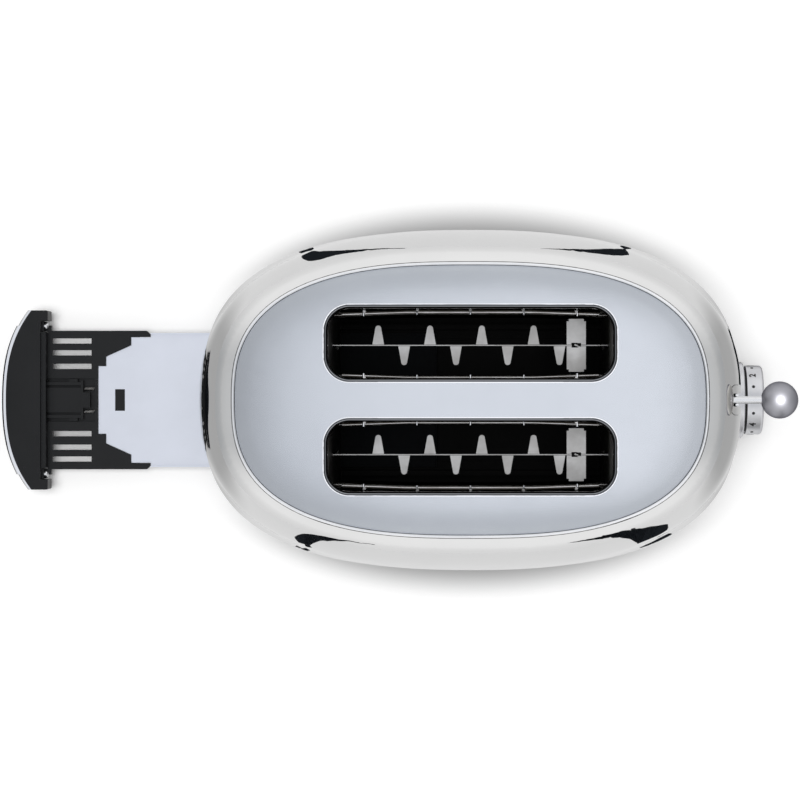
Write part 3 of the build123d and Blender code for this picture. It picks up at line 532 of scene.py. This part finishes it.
def leverFrame():
    looks = leverLooks
    bm = bmesh.new()
    bmesh.ops.create_grid(bm, x_segments=looks["columns"], y_segments=looks["rows"], size=0.5)

    def heightOf(spot):
        return looks["low"] + (spot.y + 0.5) * (looks["high"] - looks["low"])

    inSlot = [face for face in bm.faces
              if abs(face.calc_center_median().x * 2) < looks["slotShare"]
              and looks["slotLow"] < heightOf(face.calc_center_median()) < looks["slotHigh"]]
    bmesh.ops.delete(bm, geom=inSlot, context="FACES")
    half = looks["halfWidth"]
    for vert in bm.verts:
        z = heightOf(vert.co)
        past = max(0.0, z - (looks["high"] - half), looks["low"] + half - z)
        y = vert.co.x * 2 * max(0.05, half * half - past * past) ** 0.5
        vert.co = Vector((shoulderAt(z) + looks["proud"], y, z)) * mm
    bmesh.ops.recalc_face_normals(bm, faces=bm.faces[:])
    bmesh.ops.solidify(bm, geom=bm.faces[:], thickness=looks["wall"] * mm)
    return addPiece(bm, "leverFrame", "bright_chrome", "housing", ["lever_bezel"],
                    finish=finishes["polished_steel"])


def leverCap():
    looks = leverLooks
    bm = bmesh.new()
    bmesh.ops.create_uvsphere(bm, u_segments=40, v_segments=24, radius=mm)
    bmesh.ops.scale(bm, vec=looks["capHalf"], verts=bm.verts[:])
    lean = Matrix.Rotation(radians(looks["capLean"]), 4, "Y")
    centre = Matrix.Translation(Vector(looks["capCentre"]) * mm)
    bmesh.ops.transform(bm, matrix=centre @ lean, verts=bm.verts[:])
    return addPiece(bm, "leverCap", "reflector_sheet", "housing")


leverFrame()
leverCap()
print("lever frame")

# The studio: a pale floor, soft light all round and a lamp overhead
studio = dict(ambient=0.45, sun=1.9, sunAngle=20, sunLean=-2, overLow=(0.82, 0.84, 0.89),
              overHigh=(1.16, 1.17, 1.21))
# How bright the room is from overhead (0) down to the horizon (1), towards the ends and the long sides
endRoom = [(0.27, (0.33, 0.335, 0.345)), (0.42, (0.35, 0.355, 0.36)), (0.48, (0.63, 0.64, 0.65)),
           (0.75, (0.58, 0.585, 0.59)), (1.0, (0.44, 0.45, 0.46))]
sideRoom = [(0.24, (0.56, 0.575, 0.60)), (0.42, (0.56, 0.575, 0.60)), (0.50, (1.0, 1.0, 1.0)),
            (0.80, (0.97, 0.97, 0.97)), (1.0, (0.84, 0.84, 0.84))]


def studioWorld():
    world = bpy.data.worlds.new("studio")
    world.use_nodes = True
    scene.world = world
    finish = Finish(world.node_tree)
    camera, glossy, through = finish.rays()
    x, y, z = finish.axes(finish.node("ShaderNodeTexCoord"))
    lean = (x * x + y * y) ** 0.5
    aside = (y * (lean + 0.0001) ** -1).magnitude()
    high = aside ** 1.5
    sideways = high + (finish.step(aside, 0.2, 0.8) - high) * finish.step(lean, 0.42, 0.55)
    walls = finish.mixColour(sideways, finish.ramp(lean, endRoom), finish.ramp(lean, sideRoom))
    over = finish.mixColour(finish.step(x, -0.22, 0.14), rgba(studio["overLow"]), rgba(studio["overHigh"]))
    room = finish.mixColour(finish.step(lean - finish.step(x, 0, 0.2) * 0.05, 0.19, 0.27), over, walls)
    # The camera sees plain white, the polish sees the room
    shown = finish.mixColour(glossy * (1 - camera), (1, 1, 1, 1), room)
    seen = finish.either(camera + glossy, through)
    strength = studio["ambient"] + seen * (1 - studio["ambient"])
    background = finish.node("ShaderNodeBackground", None, {"Color": shown, "Strength": strength})
    finish.node("ShaderNodeOutputWorld", None, {"Surface": background})


# The floor: its own tone, the one the camera sees, a darker one that the polish sees past the ends as a painted
# reflection, and the depth and reach of a painted shadow beside the long sides
floorLooks = dict(size=9.0, drop=0.0003, tone=0.78, shown=1.06, end=0.43, endStart=0.10, endStop=0.32,
                  halfLength=155, halfWidth=97.5, contact=0.52, contactEnd=1.24)


def studioFloor():
    looks = floorLooks
    bm = bmesh.new()
    bmesh.ops.create_grid(bm, x_segments=2, y_segments=2, size=looks["size"] / 2,
                          matrix=Matrix.Translation((0, 0, -looks["drop"])))
    mesh = bpy.data.meshes.new("floor")
    bm.to_mesh(mesh)
    bm.free()
    floor = placed("floor", mesh)
    material, finish = newFinish("floor")
    camera, glossy, through = finish.rays()
    x, y, z = finish.axes(finish.objectPlace())
    away, aside = x.magnitude(), y.magnitude()
    # Painted reflection: past the ends the floor is darker to the polish only
    ahead = 1 - finish.step(aside * (away + 0.001) ** -1, 0.35, 0.85)
    ends = glossy * finish.step(away, looks["endStart"], looks["endStop"]) * ahead
    low, high, end = (rgba((looks[key],) * 3) for key in ("tone", "shown", "end"))
    # Painted shadow: the floor the camera sees grows darker beside the long sides
    oval = ((x * (1 / (looks["halfLength"] * mm))) ** 2 + (y * (1 / (looks["halfWidth"] * mm))) ** 2) ** 0.5
    paintedShadow = (1 - finish.step(oval, 1.0, looks["contactEnd"])) * finish.step(aside, 0.055, 0.095)
    high = finish.mixColour(paintedShadow * looks["contact"], high, rgba((0, 0, 0)))
    tone = finish.mixColour(finish.either(camera, through), finish.mixColour(ends, low, end), high)
    diffuse = finish.node("ShaderNodeBsdfDiffuse", None, {"Color": tone})
    finish.node("ShaderNodeOutputMaterial", None, {"Surface": diffuse})
    mesh.materials.append(material)


def studioLamp():
    lamp = bpy.data.lights.new("overhead", "SUN")
    lamp.energy = studio["sun"]
    lamp.angle = radians(studio["sunAngle"])
    holder = placed("overhead", lamp)
    holder.rotation_euler = (0, radians(studio["sunLean"]), 0)
    holder.visible_glossy = False


# Black flags that only the polish sees: pairs of points down each one's two edges, in millimetres
flags = {
    "leftFar": [
        ((-124, 146, 3), (-160, 232, 3)),
        ((-114, 133, 3), (-185, 309, 3)),
        ((-106, 122, 3), (-208, 397, 3)),
        ((-125, 197, 3), (-224, 466, 3)),
        ((-131, 266, 3), (-193, 490, 3)),
        ((-135, 344, 3), (-171, 542, 38)),
        ((-133, 547, 27), (-135, 559, 74)),
        ((-85, 577, 153), (-86, 578, 181)),
    ],
    "rightFar": [
        ((102, 118, 3), (143, 220, 3)),
        ((102, 127, 3), (156, 281, 3)),
        ((114, 185, 3), (172, 378, 3)),
        ((125, 304, 3), (184, 531, 14)),
        ((138, 499, 3), (149, 558, 78)),
        ((113, 569, 107), (115, 572, 133)),
        ((91, 577, 172), (91, 578, 183)),
    ],
    "leftNear": [
        ((-181, -248, 3), (-134, -163, 3)),
        ((-213, -329, 3), (-132, -174, 3)),
        ((-280, -500, 17), (-120, -160, 3)),
        ((-277, -519, 76), (-114, -130, 3)),
        ((-273, -528, 111), (-148, -233, 3)),
        ((-263, -538, 173), (-184, -356, 3)),
        ((-222, -544, 271), (-222, -546, 113)),
        ((-175, -531, 365), (-177, -540, 338)),
        ((-129, -530, 389), (-130, -538, 371)),
    ],
    "rightNear": [
        ((226, -249, 3), (166, -162, 3)),
        ((268, -347, 3), (149, -153, 3)),
        ((320, -499, 75), (143, -165, 3)),
        ((299, -521, 234), (133, -170, 3)),
        ((284, -518, 288), (148, -210, 3)),
        ((273, -502, 358), (197, -355, 3)),
        ((238, -487, 420), (245, -539, 118)),
        ((196, -480, 454), (215, -541, 301)),
        ((166, -489, 453), (168, -519, 397)),
        ((135, -502, 442), (135, -511, 425)),
    ],
    "rightEnd": [((150, 6, 3), (150, 62, 3)), ((226, 10, 3), (214, 46, 3))],
    "leftEnd": [((-277, y, 3), (-290, y, z)) for y, z in (
        (-64, 14), (-51, 36), (-35, 52), (-25, 66), (-16, 81), (-8, 90),
        (0, 93), (8, 90), (16, 81), (25, 66), (35, 52), (51, 36), (64, 14))],
}


def studioFlags():
    material, finish = newFinish("flag")
    cloth = finish.node("ShaderNodeBsdfDiffuse", None, {"Color": (0.012, 0.014, 0.017, 1)})
    finish.node("ShaderNodeOutputMaterial", None, {"Surface": cloth})
    for name, pairs in flags.items():
        bm = bmesh.new()
        rows = [[bm.verts.new(Vector(pair[side]) * mm) for pair in pairs] for side in (0, 1)]
        edges = [bm.edges.new(ends) for row in rows for ends in zip(row, row[1:])]
        bmesh.ops.bridge_loops(bm, edges=edges)
        mesh = bpy.data.meshes.new(name)
        bm.to_mesh(mesh)
        bm.free()
        mesh.materials.append(material)
        flag = placed(name, mesh)
        flag.visible_camera = flag.visible_diffuse = flag.visible_shadow = flag.visible_transmission = False


# A small lamp that lights only the lever's ball
ballLamp = dict(place=(0.176, 0.0, 0.62), radius=0.16, watts=9.5)


def studioBallLamp():
    lamp = bpy.data.lights.new("ballLamp", "POINT")
    lamp.energy = ballLamp["watts"]
    lamp.shadow_soft_size = ballLamp["radius"]
    holder = placed("ballLamp", lamp)
    holder.location = ballLamp["place"]
    lit = bpy.data.collections.new("ballLit")
    lit.objects.link(nodes["lever_ball"])
    holder.light_linking.receiver_collection = lit


studioWorld()
studioFloor()
studioFlags()
studioLamp()
studioBallLamp()

# The camera looks straight down
cameraLooks = dict(lens=135.8, sensor=36, shift=-0.088, height=1.8)
camera = bpy.data.cameras.new("camera")
camera.lens = cameraLooks["lens"]
camera.sensor_width = cameraLooks["sensor"]
camera.shift_x = cameraLooks["shift"]
scene.camera = placed("camera", camera)
scene.camera.location = (0, 0, cameraLooks["height"])
print("studio and camera")
